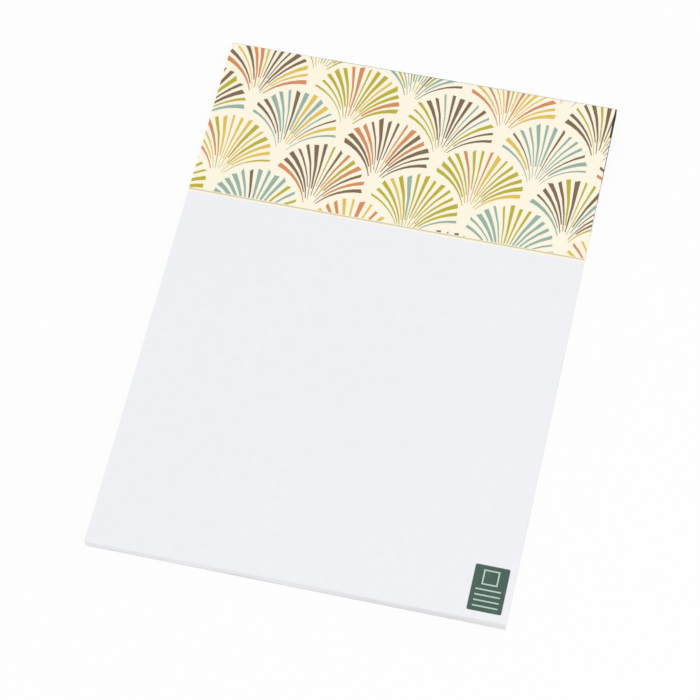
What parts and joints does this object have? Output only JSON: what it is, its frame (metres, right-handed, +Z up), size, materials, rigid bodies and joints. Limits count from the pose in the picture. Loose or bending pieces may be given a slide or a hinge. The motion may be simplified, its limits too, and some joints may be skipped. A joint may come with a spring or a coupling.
{
  "type": "notepad",
  "caption": "Flat tear-off notepad: a block of white sheets glued along its top edge on a thin backing card, with a printed header of ribbed fans and a small printed corner patch.",
  "frame": {"origin": "middle of the pad's underside, which lies on the desk", "axes": "+X to the reader's right along the sheet's width, +Y up the sheet to the glued edge, +Z up out of the top sheet"},
  "size_m": [0.148, 0.2102, 0.005],
  "materials": {
    "pages": "uncoated white writing paper, cut edges slightly rough",
    "backing_card": "thin pale grey card, uncoated",
    "padding_glue": "dried padding glue, a thin milky film with a soft sheen",
    "cream_print": "cream offset print on paper, matte",
    "beige_print": "beige offset print on paper, matte",
    "brown_print": "brown offset print on paper, matte",
    "olive_print": "olive green offset print on paper, matte",
    "teal_print": "pale teal offset print on paper, matte",
    "coral_print": "coral offset print on paper, matte",
    "mustard_print": "mustard offset print on paper, matte",
    "green_print": "dark green offset print on paper, matte",
    "pale_green_print": "pale green marks in the dark green print"
  },
  "bodies": {
    "root": {"page_block": "pages", "backing_card": "backing_card", "glue_binding": "padding_glue", "header_ground": "cream_print", "header_hairline": "beige_print", "fan_ribs_brown": "brown_print", "fan_ribs_olive": "olive_print", "fan_ribs_teal": "teal_print", "fan_ribs_coral": "coral_print", "fan_ribs_mustard": "mustard_print", "corner_patch": "green_print", "corner_patch_marks": "pale_green_print"}
  },
  "joints": []
}
